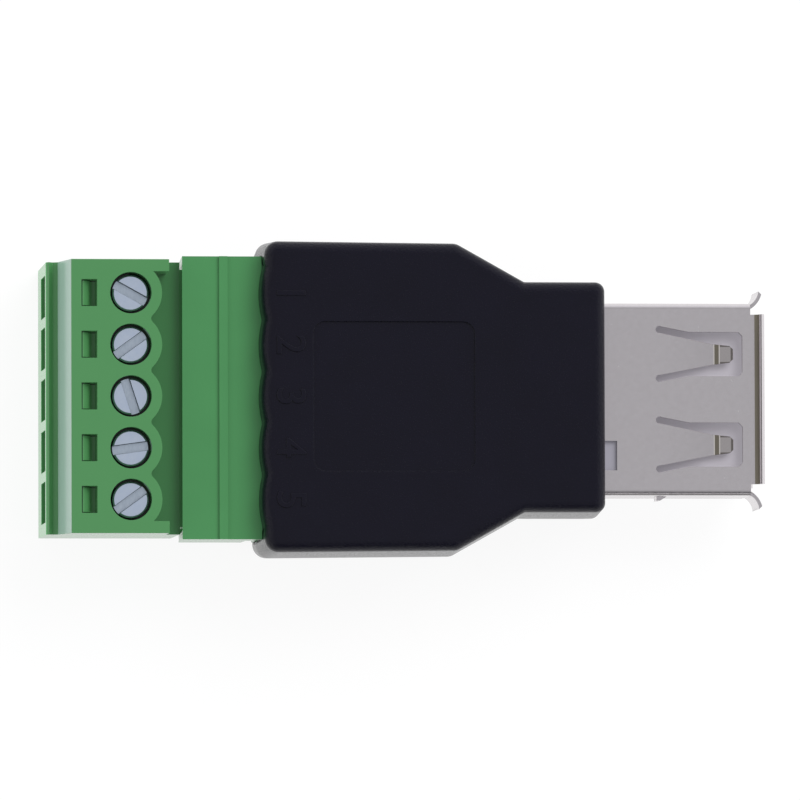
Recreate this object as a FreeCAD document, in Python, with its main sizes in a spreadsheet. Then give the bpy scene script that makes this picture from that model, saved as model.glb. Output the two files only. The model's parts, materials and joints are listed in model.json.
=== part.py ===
import FreeCAD, Part
import os
import re

import Sketcher

# USB terminal block adapter: a receptacle, a small board and a pin header in one moulded housing,
# with a pluggable screw terminal block pushed onto the header.
# X runs along the adapter towards the receptacle's mouth, Z is up and the screws point up.
# The origin lies in the plane the housing rests on, under the middle of the adapter.

SIZES = {
    # terminal block, counted from the row of screws
    "pitch": 3.5,
    "poles": 5,
    "screw_row": -18.95,
    "plug_side": 0.53,
    "plug_lift": 0.225,
    "plug_step": 0.175,
    "plug_draft": 0.1,
    "wire_face_reach": 5.55,
    "ledge_rise": 0.875,
    "ledge_depth": 0.78,
    "gutter_offset": 0.47,
    "lip_offset": 0.2,
    "lip_rise": 0.16,
    "top_edge_reach": 4.03,
    "scallop_overlap": 0.37,
    "valley_round": 0.32,
    "arm_reach": 2.6,
    "arm_thickness": 0.82,
    "shelf_drop": 2.95,
    "shelf_reach": 3.53,
    "nose_gap": 1.0,
    "key_width": 0.8,
    "key_depth": 0.35,
    "test_slot_reach": 2.82,
    "test_slot_length": 1.06,
    "test_slot_width": 1.83,
    "test_slot_depth": 1.7,
    "boss_foot": 0.66,
    "boss_crown": 0.1,
    "boss_sink": 0.25,
    "boss_drop": 1.1,
    "boss_bulge": 0.12,
    "wire_entry_height": 4.1,
    "wire_entry_depth": 2.0,
    "throat_inset": 0.34,
    # clamp screw, cage and forked contact
    "head_diameter": 2.5,
    "head_height": 0.9,
    "head_bevel": 0.12,
    "slot_width": 0.62,
    "slot_depth": 0.5,
    "screw_diameter": 2.0,
    "tip_gap": 0.125,
    "bore_play": 0.15,
    "running_play": 0.05,
    "shoulder": 0.575,
    "cage_length": 2.4,
    "cage_wall": 0.29,
    "cage_floor": 0.6,
    "cage_top": 0.8,
    "cage_travel": 1.4,
    "clamp_gap": 3.3,
    "bar_play": 0.1,
    "bar_side_play": 0.15,
    "bar_overhang": 0.4,
    "contact_thickness": 0.5,
    "fork_room": 3.1,
    "finger_setback": 0.5,
    # pin header
    "mate_gap": 0.1,
    "header_length": 9.2,
    "header_height": 7.25,
    "header_side": 0.81,
    "header_roof": 0.9,
    "header_back": 1.5,
    "header_draft": 0.08,
    "mouth_slant": 0.3,
    "mouth_bevel": 0.25,
    "rib_offset": 2.5,
    "rib_width": 0.58,
    "rib_height": 0.22,
    "foot_notch": 0.25,
    "foot_notch_length": 0.7,
    "pin_size": 1.0,
    "pin_reach": 5.5,
    "pin_tail": 2.5,
    "pin_bevel": 0.25,
    # moulded housing
    "case_height": 11.5,
    "case_cover": 3.94,
    "case_wall": 1.155,
    "case_draft": 0.23,
    "case_narrowing": 0.13,
    "case_straight": 13.33,
    "case_taper": 4.64,
    "neck_wall": 1.48,
    "neck_length": 5.64,
    "neck_round": 0.65,
    "lobe_rise": 0.22,
    "valley_blend": 0.8,
    "corner_round": 0.95,
    "edge_round": 0.8,
    "panel_length": 10.98,
    "panel_width": 10.16,
    "panel_offset": 3.49,
    "panel_round": 0.82,
    "panel_depth": 0.15,
    "chamber_side": 0.7,
    "chamber_height": 2.0,
    # board
    "board_drop": 0.3,
    "board_thickness": 1.0,
    "board_step": 9.2,
    "board_inset": 0.25,
    "board_tongue_inset": 0.55,
    "board_gap": 0.14,
    # receptacle
    "shell_width": 13.1,
    "shell_height": 5.7,
    "sheet": 0.3,
    "shell_round": 0.42,
    "shell_sink": 3.93,
    "shell_reach": 10.22,
    "lip_inset": 0.76,
    "side_lip_inset": 1.05,
    "lip_length": 0.74,
    "lip_flare": 0.65,
    "side_lip_flare": 0.9,
    "lip_bulge": 0.12,
    "corner_notch": 0.16,
    "leaf_lane": 3.09,
    "leaf_offset": 3.87,
    "leaf_length": 5.02,
    "leaf_kink": 1.3,
    "leaf_root_width": 2.86,
    "leaf_neck_width": 1.39,
    "leaf_end_width": 1.13,
    "leaf_end_bevel": 0.22,
    "leaf_dip": 0.5,
    "leaf_lift": 0.22,
    "window_root_width": 3.77,
    "window_width": 3.0,
    "window_taper": 1.95,
    "window_front": 0.61,
    "window_bevel": 0.27,
    "root_slot": 0.48,
    "root_slot_setback": 0.08,
    "peep_length": 0.87,
    "peep_width": 2.0,
    "peep_side": 2.85,
    "barb_start": 3.82,
    "barb_length": 0.93,
    "barb_lead": 0.25,
    "barb_height": 1.5,
    "barb_rise": 0.27,
    "block_inset": 0.3,
    "block_length": 5.0,
    "tongue_length": 8.4,
    "tongue_inset": 1.0,
    "tongue_thickness": 1.84,
    "tongue_groove": 0.1,
    "strip_width": 1.0,
    "strip_thickness": 0.25,
    "strip_setback": 0.64,
    "strip_tail": 1.6,
    "inner_lane": 1.0,
    "outer_lane": 3.5,
}

# Slot directions of the five screws as they stand, in degrees from the X axis.
SLOT_ANGLES = [36, 8, -72, 36, -29]

# How far a cutting outline runs past the material, and an added form starts inside it.
PAST = 1.0
EMBED = 0.1

doc = FreeCAD.newDocument("usb_terminal_adapter")
sheet = doc.addObject("Spreadsheet::Sheet", "Sizes")
for row, (alias, number) in enumerate(SIZES.items(), start=1):
    sheet.set(f"A{row}", alias)
    sheet.set(f"B{row}", str(number))
    sheet.setAlias(f"B{row}", alias)
doc.recompute()

# Places that several pieces share, each worked out from the sheet.
SHARED = {
    "pole_count": "round(poles)",
    "poles_span": "(pole_count - 1) * pitch",
    "nose_side": "(poles_span + pitch) / 2",
    "cavity_side": "nose_side + running_play",
    "plug_width": "2 * (nose_side + plug_side)",
    "header_width": "2 * (cavity_side + header_side)",
    "case_front_width": "header_width + 2 * case_wall",
    "case_rear_width": "case_front_width - 2 * case_narrowing",
    "neck_width": "shell_width + 2 * neck_wall",
    "axis": "case_height / 2",
    "wire_face": "screw_row - wire_face_reach",
    "shelf_end": "screw_row + shelf_reach",
    "mouth": "shelf_end + mate_gap",
    "header_rear": "mouth + header_length",
    "pin_root": "header_rear - header_back",
    "pin_start": "pin_root - pin_reach",
    "nose_end": "pin_root - nose_gap",
    "fork_root": "pin_start - fork_room",
    "bar_start": "screw_row - cage_length / 2 - bar_overhang",
    "header_base": "axis - header_height / 2",
    "header_top": "axis + header_height / 2",
    "cavity_base": "header_base + header_roof",
    "cavity_top": "header_top - header_roof",
    "board_top": "axis - board_drop",
    "pin_axis": "board_top + pin_size / 2",
    "finger_top": "pin_axis - pin_size / 2 - running_play",
    "bar_under": "pin_axis + pin_size / 2 + running_play",
    "bar_top": "bar_under + contact_thickness",
    "cage_floor_top": "bar_under - clamp_gap",
    "cage_base": "cage_floor_top - cage_floor",
    "cage_crown": "bar_top + bar_play + cage_top",
    "cavity_roof": "cage_crown + cage_travel + running_play",
    "head_base": "cavity_roof + shoulder",
    "plug_top": "case_height - plug_step",
    "shelf": "plug_top - shelf_drop",
    "wire_entry_top": "cage_floor_top + wire_entry_height",
    "ledge": "wire_entry_top + ledge_rise",
    "cage_window_width": "screw_diameter + 2 * running_play",
    "cage_width": "cage_window_width + 2 * cage_wall",
    "wire_entry_width": "cage_width + 2 * running_play",
    "cage_height": "cage_crown - cage_base",
    "contact_width": "cage_window_width - 2 * bar_side_play",
    "screw_length": "head_base - bar_top - tip_gap",
    "scallop_radius": "pitch / 2 + scallop_overlap",
    "front": "header_rear - case_cover",
    "taper_start": "front + case_straight",
    "taper_end": "taper_start + case_taper",
    "neck_end": "taper_end + neck_length",
    "shell_rear": "neck_end - shell_sink",
    "shell_front": "neck_end + shell_reach",
    "bore_half_height": "shell_height / 2 - sheet",
    "bore_half_width": "shell_width / 2 - sheet",
    "lip_edge": "sheet / sqrt(2)",
    "leaf_root": "neck_end + leaf_offset",
    "leaf_tip": "leaf_root + leaf_length",
    "leaf_bend": "leaf_tip - leaf_kink",
    "block_start": "shell_rear + block_inset",
    "tongue_end": "block_start + block_length + tongue_length",
    "board_end": "shell_rear - board_gap",
    "board_width": "2 * (nose_side - board_inset)",
    "board_tongue_width": "shell_width - 2 * board_tongue_inset",
    "strip_start": "board_end - strip_tail",
}


def bound(text):
    """The expression with each size and shared place written out as cells of the sheet."""
    def write_out(match):
        word = match.group()
        if word in SHARED:
            return f"({bound(SHARED[word])})"
        return f"Sizes.{word}" if word in SIZES else word
    return re.sub(r"[a-z_]+", write_out, str(text))


def value(text):
    return float(sheet.evalExpression(bound(text)))


def set_size(item, name, text):
    item.setExpression(name, bound(text))


def new_body(label):
    body = doc.addObject("PartDesign::Body", label)
    body.Label = label
    return body


def origin_item(body, role):
    return next(item for item in body.Origin.OriginFeatures if item.Role == role)


def place_sketch(body, name, plane, level):
    sketch = body.newObject("Sketcher::SketchObject", name)
    sketch.AttachmentSupport = [(origin_item(body, plane), "")]
    sketch.MapMode = "FlatFace"
    set_size(sketch, "AttachmentOffset.Base.z", level)
    return sketch


def outline(body, name, plane, corners, level="0"):
    """A closed outline of straight runs through corners given as pairs of expressions.

    A corner with a third entry starts an arc to the next corner that bulges to the right of the
    run by that much, or to its left where the entry is negative.
    """
    sketch = place_sketch(body, name, plane, level)
    places = [FreeCAD.Vector(value(corner[0]), value(corner[1]), 0) for corner in corners]
    ends = []
    for index, corner in enumerate(corners):
        start = places[index]
        end = places[(index + 1) % len(corners)]
        if len(corner) == 3:
            side = (end - start).cross(FreeCAD.Vector(0, 0, 1)).normalize()
            crown = (start + end) * 0.5 + side * value(corner[2])
            item = sketch.addGeometry(Part.Arc(start, crown, end), False)
            turned = sketch.getPoint(item, 1).distanceToPoint(start) > 1e-6
            ends.append((2, 1) if turned else (1, 2))
        else:
            item = sketch.addGeometry(Part.LineSegment(start, end), False)
            ends.append((1, 2))
    for index, corner in enumerate(corners):
        after = (index + 1) % len(corners)
        sketch.addConstraint(
            Sketcher.Constraint("Coincident", index, ends[index][1], after, ends[after][0])
        )
        for kind, text in (("DistanceX", corner[0]), ("DistanceY", corner[1])):
            rule = sketch.addConstraint(
                Sketcher.Constraint(kind, -1, 1, index, ends[index][0], value(text))
            )
            set_size(sketch, f"Constraints[{rule}]", text)
        if len(corner) == 3:
            nxt = corners[after]
            chord = f"(({nxt[0]} - ({corner[0]}))^2 + ({nxt[1]} - ({corner[1]}))^2)"
            radius = f"abs({chord} / 8 / ({corner[2]}) + ({corner[2]}) / 2)"
            rule = sketch.addConstraint(Sketcher.Constraint("Radius", index, value(radius)))
            set_size(sketch, f"Constraints[{rule}]", radius)
    return sketch


def rectangle(body, name, plane, left, right, low, high, level="0"):
    corners = [(left, low), (right, low), (right, high), (left, high)]
    return outline(body, name, plane, corners, level)


def circle(body, name, plane, across, along, diameter, level="0"):
    sketch = place_sketch(body, name, plane, level)
    centre = FreeCAD.Vector(value(across), value(along), 0)
    sketch.addGeometry(Part.Circle(centre, FreeCAD.Vector(0, 0, 1), value(diameter) / 2), False)
    rules = (
        (Sketcher.Constraint("DistanceX", -1, 1, 0, 3, value(across)), across),
        (Sketcher.Constraint("DistanceY", -1, 1, 0, 3, value(along)), along),
        (Sketcher.Constraint("Diameter", 0, value(diameter)), diameter),
    )
    for constraint, text in rules:
        rule = sketch.addConstraint(constraint)
        set_size(sketch, f"Constraints[{rule}]", text)
    return sketch


def feature(body, kind, name, sketch, length, reverse=False, both_ways=False):
    item = body.newObject(f"PartDesign::{kind}", name)
    item.Profile = sketch
    set_size(item, "Length", length)
    item.Reversed = reverse
    if both_ways:
        item.SideType = "Symmetric"
    sketch.Visibility = False
    body.Tip = item
    return item


def pad(body, name, sketch, length, **options):
    return feature(body, "Pad", name, sketch, length, **options)


def cut(body, name, sketch, length, **options):
    """A pocket that is sure to take material away."""
    doc.recompute()
    before = body.Shape.Volume
    item = feature(body, "Pocket", name, sketch, length, **options)
    doc.recompute()
    if body.Shape.Volume >= before - 1e-6:
        raise ValueError(f"{name} cuts nothing")
    return item


def row_of_poles(body, name, originals, count="pole_count"):
    """Repeats what is made at the first pole along Y, one pitch apart."""
    pattern = body.newObject("PartDesign::LinearPattern", name)
    pattern.Originals = originals
    pattern.Direction = (origin_item(body, "Y_Axis"), [""])
    set_size(pattern, "Length", f"({count} - 1) * pitch")
    set_size(pattern, "Occurrences", count)
    body.Tip = pattern
    doc.recompute()
    return pattern


def dress_edges(body, kind, name, size, chosen):
    """Rounds or bevels the edges of the body's present shape that the given test picks."""
    doc.recompute()
    base = body.Tip
    names = [
        f"Edge{index}"
        for index, edge in enumerate(base.Shape.Edges, start=1)
        if chosen(edge)
    ]
    if not names:
        raise ValueError(f"{name} finds no edge")
    item = body.newObject(f"PartDesign::{kind}", name)
    item.Base = (base, names)
    set_size(item, "Radius" if kind == "Fillet" else "Size", size)
    body.Tip = item
    doc.recompute()
    if not item.isValid():
        raise ValueError(f"{name} can't be made at this size")
    return item


def round_edges(body, name, radius, chosen):
    return dress_edges(body, "Fillet", name, radius, chosen)


def bevel_edges(body, name, size, chosen):
    return dress_edges(body, "Chamfer", name, size, chosen)


def runs_along(edge, axis):
    """Whether a straight edge is parallel to the axis, given as 0, 1 or 2 for X, Y or Z."""
    if len(edge.Vertexes) != 2:
        return False
    step = edge.Vertexes[1].Point - edge.Vertexes[0].Point
    parts = [abs(step.x), abs(step.y), abs(step.z)]
    return parts[axis] > 1e-6 and sum(parts) - parts[axis] < 1e-6


def near(first, second):
    return abs(first - second) < 1e-4


def first_pole():
    return "-poles_span / 2"


def pole_place(index):
    """Y of one pole, counted from 0 at the lowest Y."""
    return f"(-poles_span / 2 + {index} * pitch)"


# Moulded housing


def make_housing():
    """A moulding in two mirrored halves that lean in from a parting line at middle height.

    Its front edge is lobed, cavities take what it holds and its top has a shallow panel.
    """
    body = new_body("overmould_housing")
    lobes = [
        ("front", pole_place(index) + " + pitch / 2", "lobe_rise")
        for index in reversed(range(int(value("pole_count"))))
    ]
    corners = [
        ("front", "-nose_side"),
        ("front", "-case_front_width / 2"),
        ("taper_start", "-case_rear_width / 2"),
        ("taper_end", "-neck_width / 2"),
        ("neck_end", "-neck_width / 2"),
        ("neck_end", "neck_width / 2"),
        ("taper_end", "neck_width / 2"),
        ("taper_start", "case_rear_width / 2"),
        ("front", "case_front_width / 2"),
    ]
    wide = outline(body, "HousingPlan", "XY_Plane", corners + lobes, "axis")
    block = pad(body, "HousingHalf", wide, "case_height / 2")
    doc.recompute()
    faces = [(f"Face{index}", face) for index, face in enumerate(block.Shape.Faces, start=1)]
    middle = value("axis")
    draft = body.newObject("PartDesign::Draft", "HousingDraft")
    draft.Base = (block, [name for name, face in faces if face.BoundBox.ZLength > middle / 2])
    draft.NeutralPlane = (block, [name for name, face in faces if near(face.BoundBox.ZMax, middle)])
    set_size(draft, "Angle", "atan(case_draft / (case_height / 2))")
    body.Tip = draft
    doc.recompute()
    front = value("front")
    neck_end = value("neck_end")
    slope_middle = value("(taper_start + taper_end) / 2")
    inside = value("nose_side")
    height = value("case_height")

    def climbs(edge):
        return edge.BoundBox.ZLength > middle / 2

    def is_valley(edge):
        point = edge.CenterOfMass
        at_front = point.x < front + value("case_draft")
        return climbs(edge) and at_front and abs(point.y) < inside + 1e-4

    def is_corner(edge):
        point = edge.CenterOfMass
        return climbs(edge) and point.x < slope_middle and abs(point.y) > inside + 1e-4

    def is_neck_corner(edge):
        return climbs(edge) and edge.CenterOfMass.x > neck_end - value("case_draft")

    round_edges(body, "ValleyBlends", "valley_blend", is_valley)
    round_edges(body, "PlanCorners", "corner_round", is_corner)
    round_edges(body, "NeckCorners", "neck_round", is_neck_corner)
    round_edges(
        body, "RimRounds", "edge_round", lambda edge: near(edge.BoundBox.ZMin, height)
    )
    doc.recompute()
    mirror = body.newObject("PartDesign::Mirrored", "HousingHalves")
    mirror.MirrorPlane = (wide, [""])
    mirror.TransformMode = "Whole shape"
    body.Tip = mirror

    seat = rectangle(
        body, "HeaderSeatSketch", "YZ_Plane",
        "-header_width / 2", "header_width / 2", "header_base", "header_top", f"front - {PAST}"
    )
    cut(body, "HeaderSeat", seat, f"case_cover + {PAST}", reverse=True)
    board_seat = rectangle(
        body, "BoardSeatSketch", "XY_Plane",
        "header_rear", "header_rear + board_step", "-board_width / 2", "board_width / 2",
        "board_top - board_thickness"
    )
    cut(body, "BoardSeat", board_seat, "board_thickness", reverse=True)
    tongue_seat = rectangle(
        body, "BoardTongueSeatSketch", "XY_Plane",
        "header_rear", "board_end",
        "-board_tongue_width / 2", "board_tongue_width / 2", "board_top - board_thickness"
    )
    cut(body, "BoardTongueSeat", tongue_seat, "board_thickness", reverse=True)
    chamber = rectangle(
        body, "ChamberSketch", "XY_Plane",
        "header_rear", "header_rear + board_step - chamber_side",
        "-board_width / 2 + chamber_side", "board_width / 2 - chamber_side",
        "board_top - chamber_height"
    )
    cut(body, "Chamber", chamber, "2 * chamber_height", reverse=True)
    passage = rectangle(
        body, "PassageSketch", "XY_Plane",
        "header_rear", "shell_rear",
        "-board_tongue_width / 2 + chamber_side", "board_tongue_width / 2 - chamber_side",
        "board_top - chamber_height"
    )
    cut(body, "Passage", passage, "2 * chamber_height", reverse=True)
    socket = rectangle(
        body, "ShellSeatSketch", "YZ_Plane",
        "-shell_width / 2", "shell_width / 2",
        "axis - shell_height / 2", "axis + shell_height / 2", "shell_rear"
    )
    cut(body, "ShellSeat", socket, f"shell_sink + {PAST}", reverse=True)
    rear = value("shell_rear")
    end = value("neck_end")
    half_width = value("shell_width / 2")

    def is_shell_corner(edge):
        point = edge.CenterOfMass
        return (
            runs_along(edge, 0)
            and rear < point.x < end
            and near(abs(point.y), half_width)
        )

    round_edges(body, "ShellSeatCorners", "shell_round", is_shell_corner)

    panel = rectangle(
        body, "PanelSketch", "XY_Plane",
        "front + panel_offset", "front + panel_offset + panel_length",
        "-panel_width / 2", "panel_width / 2", "case_height"
    )
    cut(body, "Panel", panel, "panel_depth")
    low = value("case_height - panel_depth / 2")

    def is_panel_corner(edge):
        return runs_along(edge, 2) and near(edge.CenterOfMass.z, low)

    round_edges(body, "PanelCorners", "panel_round", is_panel_corner)
    return body


# Pin header


def make_header():
    """A thin walled shroud, open towards the plug, whose back wall holds the pins."""
    body = new_body("header_body")
    section = outline(
        body, "HeaderSection", "YZ_Plane",
        [
            ("-header_width / 2 + header_draft", "header_base"),
            ("header_width / 2 - header_draft", "header_base"),
            ("header_width / 2", "header_top"),
            ("-header_width / 2", "header_top"),
        ],
        "mouth",
    )
    pad(body, "HeaderBlock", section, "header_length")
    slant = outline(
        body, "MouthSlantSketch", "XZ_Plane",
        [
            (f"mouth - {PAST}", f"header_base - {PAST}"),
            ("mouth + mouth_slant", f"header_base - {PAST}"),
            ("mouth + mouth_slant", "header_base"),
            ("mouth", "header_top"),
            (f"mouth - {PAST}", "header_top"),
        ],
    )
    cut(body, "MouthSlant", slant, f"header_width + 2 * {PAST}", both_ways=True)
    cavity = rectangle(
        body, "HeaderCavitySketch", "YZ_Plane",
        "-cavity_side", "cavity_side", "cavity_base", "cavity_top", f"mouth - {PAST}"
    )
    cut(body, "HeaderCavity", cavity, f"pin_root - mouth + {PAST}", reverse=True)
    mouth = value("mouth")
    reach = value("mouth + mouth_slant")
    side = value("cavity_side")
    base = value("cavity_base")
    top = value("cavity_top")

    def is_mouth(edge):
        point = edge.CenterOfMass
        inner = abs(point.y) < side + 1e-4 and base - 1e-4 < point.z < top + 1e-4
        return inner and not runs_along(edge, 0) and mouth - 1e-4 < point.x < reach + 1e-4

    bevel_edges(body, "MouthBevel", "mouth_bevel", is_mouth)
    rib = rectangle(
        body, "RibSketch", "XZ_Plane",
        "mouth + rib_offset", "mouth + rib_offset + rib_width",
        "header_top - rib_height", "header_top + rib_height"
    )
    pad(body, "Rib", rib, "header_width", both_ways=True)
    for side_name, sign in (("Left", "-"), ("Right", "")):
        inner = f"{sign}(header_width / 2 - foot_notch)"
        outer = f"{sign}(header_width / 2 + {PAST})"
        notch = rectangle(
            body, f"FootNotch{side_name}Sketch", "XY_Plane",
            "front - foot_notch_length", "front", inner, outer, f"header_base - {PAST}"
        )
        cut(body, f"FootNotch{side_name}", notch, f"header_height / 2 + {PAST}", reverse=True)
    hole = rectangle(
        body, "PinHoleSketch", "YZ_Plane",
        f"{first_pole()} - pin_size / 2", f"{first_pole()} + pin_size / 2",
        "pin_axis - pin_size / 2", "pin_axis + pin_size / 2", f"pin_root - {PAST}"
    )
    pin_hole = cut(body, "PinHole", hole, f"header_back + 2 * {PAST}", reverse=True)
    row_of_poles(body, "PinHoles", [pin_hole])
    key_start = "mouth + mouth_slant + mouth_bevel"
    key = rectangle(
        body, "KeySketch", "YZ_Plane",
        f"{first_pole()} + pitch / 2 - key_width / 2 + running_play",
        f"{first_pole()} + pitch / 2 + key_width / 2 - running_play",
        "cavity_base", "cavity_base + key_depth - running_play", key_start
    )
    rail = pad(body, "Key", key, f"pin_root - ({key_start})")
    row_of_poles(body, "Keys", [rail], "pole_count - 1")
    return body


def make_pin(index):
    """A square pin with a bevelled tip, lying on the board at its tail."""
    body = new_body(f"header_pin_{index + 1}")
    section = rectangle(
        body, f"PinSection{index + 1}", "YZ_Plane",
        "-pin_size / 2", "pin_size / 2", "-pin_size / 2", "pin_size / 2"
    )
    pad(body, f"PinBar{index + 1}", section, "pin_reach + header_back + pin_tail")
    bevel_edges(
        body, f"PinTip{index + 1}", "pin_bevel",
        lambda edge: near(edge.CenterOfMass.x, 0)
    )
    set_size(body, "Placement.Base.x", "pin_start")
    set_size(body, "Placement.Base.y", pole_place(index))
    set_size(body, "Placement.Base.z", "pin_axis")
    return body


def make_board():
    body = new_body("circuit_board")
    plan = outline(
        body, "BoardPlan", "XY_Plane",
        [
            ("header_rear", "-board_width / 2"),
            ("header_rear + board_step", "-board_width / 2"),
            ("header_rear + board_step", "-board_tongue_width / 2"),
            ("board_end", "-board_tongue_width / 2"),
            ("board_end", "board_tongue_width / 2"),
            ("header_rear + board_step", "board_tongue_width / 2"),
            ("header_rear + board_step", "board_width / 2"),
            ("header_rear", "board_width / 2"),
        ],
        "board_top - board_thickness",
    )
    pad(body, "BoardSheet", plan, "board_thickness")
    return body


# Receptacle


def make_shell():
    """Folded sheet tube with four spring leaves, a flared mouth and side barbs.

    Its own middle lies on the body's X axis, so that what is above repeats below.
    """
    body = new_body("usb_shell")
    outer = rectangle(
        body, "ShellSection", "YZ_Plane",
        "-shell_width / 2", "shell_width / 2", "-shell_height / 2", "shell_height / 2", "shell_rear"
    )
    pad(body, "ShellBlock", outer, "shell_sink + shell_reach")
    round_edges(body, "ShellBends", "shell_round", lambda edge: runs_along(edge, 0))
    bore = rectangle(
        body, "ShellBoreSketch", "YZ_Plane",
        "-bore_half_width", "bore_half_width", "-bore_half_height", "bore_half_height",
        f"shell_rear - {PAST}"
    )
    cut(body, "ShellBore", bore, f"shell_sink + shell_reach + 2 * {PAST}", reverse=True)
    inner = value("bore_half_width")

    def is_inner_corner(edge):
        return runs_along(edge, 0) and near(abs(edge.CenterOfMass.y), inner)

    round_edges(body, "InnerBends", "shell_round - sheet", is_inner_corner)

    # The mouth: its corners are notched and its four sides flare outwards.
    for name, sign_y, sign_z in (
        ("A", "", ""), ("B", "-", ""), ("C", "", "-"), ("D", "-", "-")
    ):
        notch = rectangle(
            body, f"MouthNotch{name}Sketch", "YZ_Plane",
            f"{sign_y}(shell_width / 2 - lip_inset)", f"{sign_y}(shell_width)",
            f"{sign_z}(shell_height / 2 - side_lip_inset)", f"{sign_z}(shell_height)",
            "shell_front - corner_notch"
        )
        cut(body, f"MouthNotch{name}", notch, f"corner_notch + {PAST}", reverse=True)
    for name, sign in (("Top", ""), ("Bottom", "-")):
        corners = lip_corners(sign, "shell_height / 2", "lip_flare")
        lip = outline(body, f"{name}LipSketch", "XZ_Plane", corners)
        pad(body, f"{name}Lip", lip, "shell_width - 2 * lip_inset", both_ways=True)
    for name, sign in (("Left", "-"), ("Right", "")):
        corners = lip_corners(sign, "shell_width / 2", "side_lip_flare")
        lip = outline(body, f"{name}LipSketch", "XY_Plane", corners)
        pad(body, f"{name}Lip", lip, "shell_height - 2 * side_lip_inset", both_ways=True)

    # Spring leaves: each is bent down out of its own opening and rises again at its tip.
    for name, sign_y, sign_z in (
        ("A", "", ""), ("B", "-", ""), ("C", "", "-"), ("D", "-", "-")
    ):
        make_leaf(body, name, sign_y, sign_z)

    peep = rectangle(
        body, "PeepSketch", "XY_Plane",
        f"neck_end - {PAST}", "neck_end + peep_length", "-peep_side - peep_width", "-peep_side",
        f"shell_height / 2 + {PAST}"
    )
    cut(body, "Peep", peep, f"sheet + {PAST}")

    barb = outline(
        body, "BarbSketch", "XY_Plane",
        [
            ("neck_end + barb_start", "-(shell_width / 2 - sheet / 2)"),
            ("neck_end + barb_start + barb_length", "-(shell_width / 2 - sheet / 2)"),
            ("neck_end + barb_start + barb_lead", "-(shell_width / 2 + barb_rise)"),
            ("neck_end + barb_start", "-(shell_width / 2 + barb_rise)"),
        ],
    )
    pad(body, "Barb", barb, "barb_height", both_ways=True)
    set_size(body, "Placement.Base.z", "axis")
    return body


def lip_corners(sign, wall, flare):
    """Outline of a curved, outward lip on the wall whose outer face lies that far from the middle."""
    return [
        (f"shell_front - {EMBED}", f"{sign}({wall} - sheet)"),
        ("shell_front", f"{sign}({wall} - sheet)", f"{sign}lip_bulge"),
        ("shell_front + lip_length", f"{sign}({wall} + {flare} - lip_edge)"),
        ("shell_front + lip_length - lip_edge", f"{sign}({wall} + {flare})", f"-1 * ({sign}lip_bulge)"),
        ("shell_front", f"{sign}({wall})"),
        (f"shell_front - {EMBED}", f"{sign}({wall})"),
    ]


def make_leaf(body, name, sign_y, sign_z):
    """One opening with a bent leaf in it, on the side that the signs give."""
    lane = f"{sign_y}leaf_lane"
    face = "shell_height / 2"
    above = f"{sign_z}({face} + sheet)"
    flip = bool(sign_z)
    opening = outline(
        body, f"Opening{name}Sketch", "XY_Plane",
        [
            ("leaf_root", f"{lane} - window_root_width / 2"),
            ("leaf_root + window_taper", f"{lane} - window_width / 2"),
            ("leaf_tip + window_front - window_bevel", f"{lane} - window_width / 2"),
            ("leaf_tip + window_front", f"{lane} - window_width / 2 + window_bevel"),
            ("leaf_tip + window_front", f"{lane} + window_width / 2 - window_bevel"),
            ("leaf_tip + window_front - window_bevel", f"{lane} + window_width / 2"),
            ("leaf_root + window_taper", f"{lane} + window_width / 2"),
            ("leaf_root", f"{lane} + window_root_width / 2"),
        ],
        above,
    )
    cut(body, f"Opening{name}", opening, "3 * sheet", reverse=flip)
    profile = outline(
        body, f"Leaf{name}Sketch", "XZ_Plane",
        [
            ("leaf_root", f"{sign_z}({face})"),
            ("leaf_bend", f"{sign_z}({face} - leaf_dip)"),
            ("leaf_tip", f"{sign_z}({face} - leaf_dip + leaf_lift)"),
            ("leaf_tip", f"{sign_z}({face} - leaf_dip + leaf_lift - sheet)"),
            ("leaf_bend", f"{sign_z}({face} - leaf_dip - sheet)"),
            ("leaf_root", f"{sign_z}({face} - sheet)"),
        ],
        f"-({lane}) - leaf_root_width / 2",
    )
    pad(body, f"Leaf{name}", profile, "leaf_root_width")
    for side_name, edge in (("Low", "-"), ("High", "+")):
        trim = outline(
            body, f"Trim{name}{side_name}Sketch", "XY_Plane",
            [
                ("leaf_root", f"{lane} {edge} leaf_root_width / 2"),
                ("leaf_bend", f"{lane} {edge} leaf_neck_width / 2"),
                ("leaf_tip - leaf_end_bevel", f"{lane} {edge} leaf_end_width / 2"),
                ("leaf_tip", f"{lane} {edge} (leaf_end_width / 2 - leaf_end_bevel)"),
                ("leaf_tip + window_front / 2", f"{lane} {edge} window_width / 2"),
                ("leaf_root", f"{lane} {edge} window_width / 2"),
            ],
            above,
        )
        cut(body, f"Trim{name}{side_name}", trim, "leaf_dip + 3 * sheet", reverse=flip)
        slot = circle(
            body, f"RootSlot{name}{side_name}Sketch", "XY_Plane",
            "leaf_root - root_slot_setback", f"{lane} {edge} (leaf_root_width + root_slot) / 2",
            "root_slot", above
        )
        cut(body, f"RootSlot{name}{side_name}", slot, "3 * sheet", reverse=flip)


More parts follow.
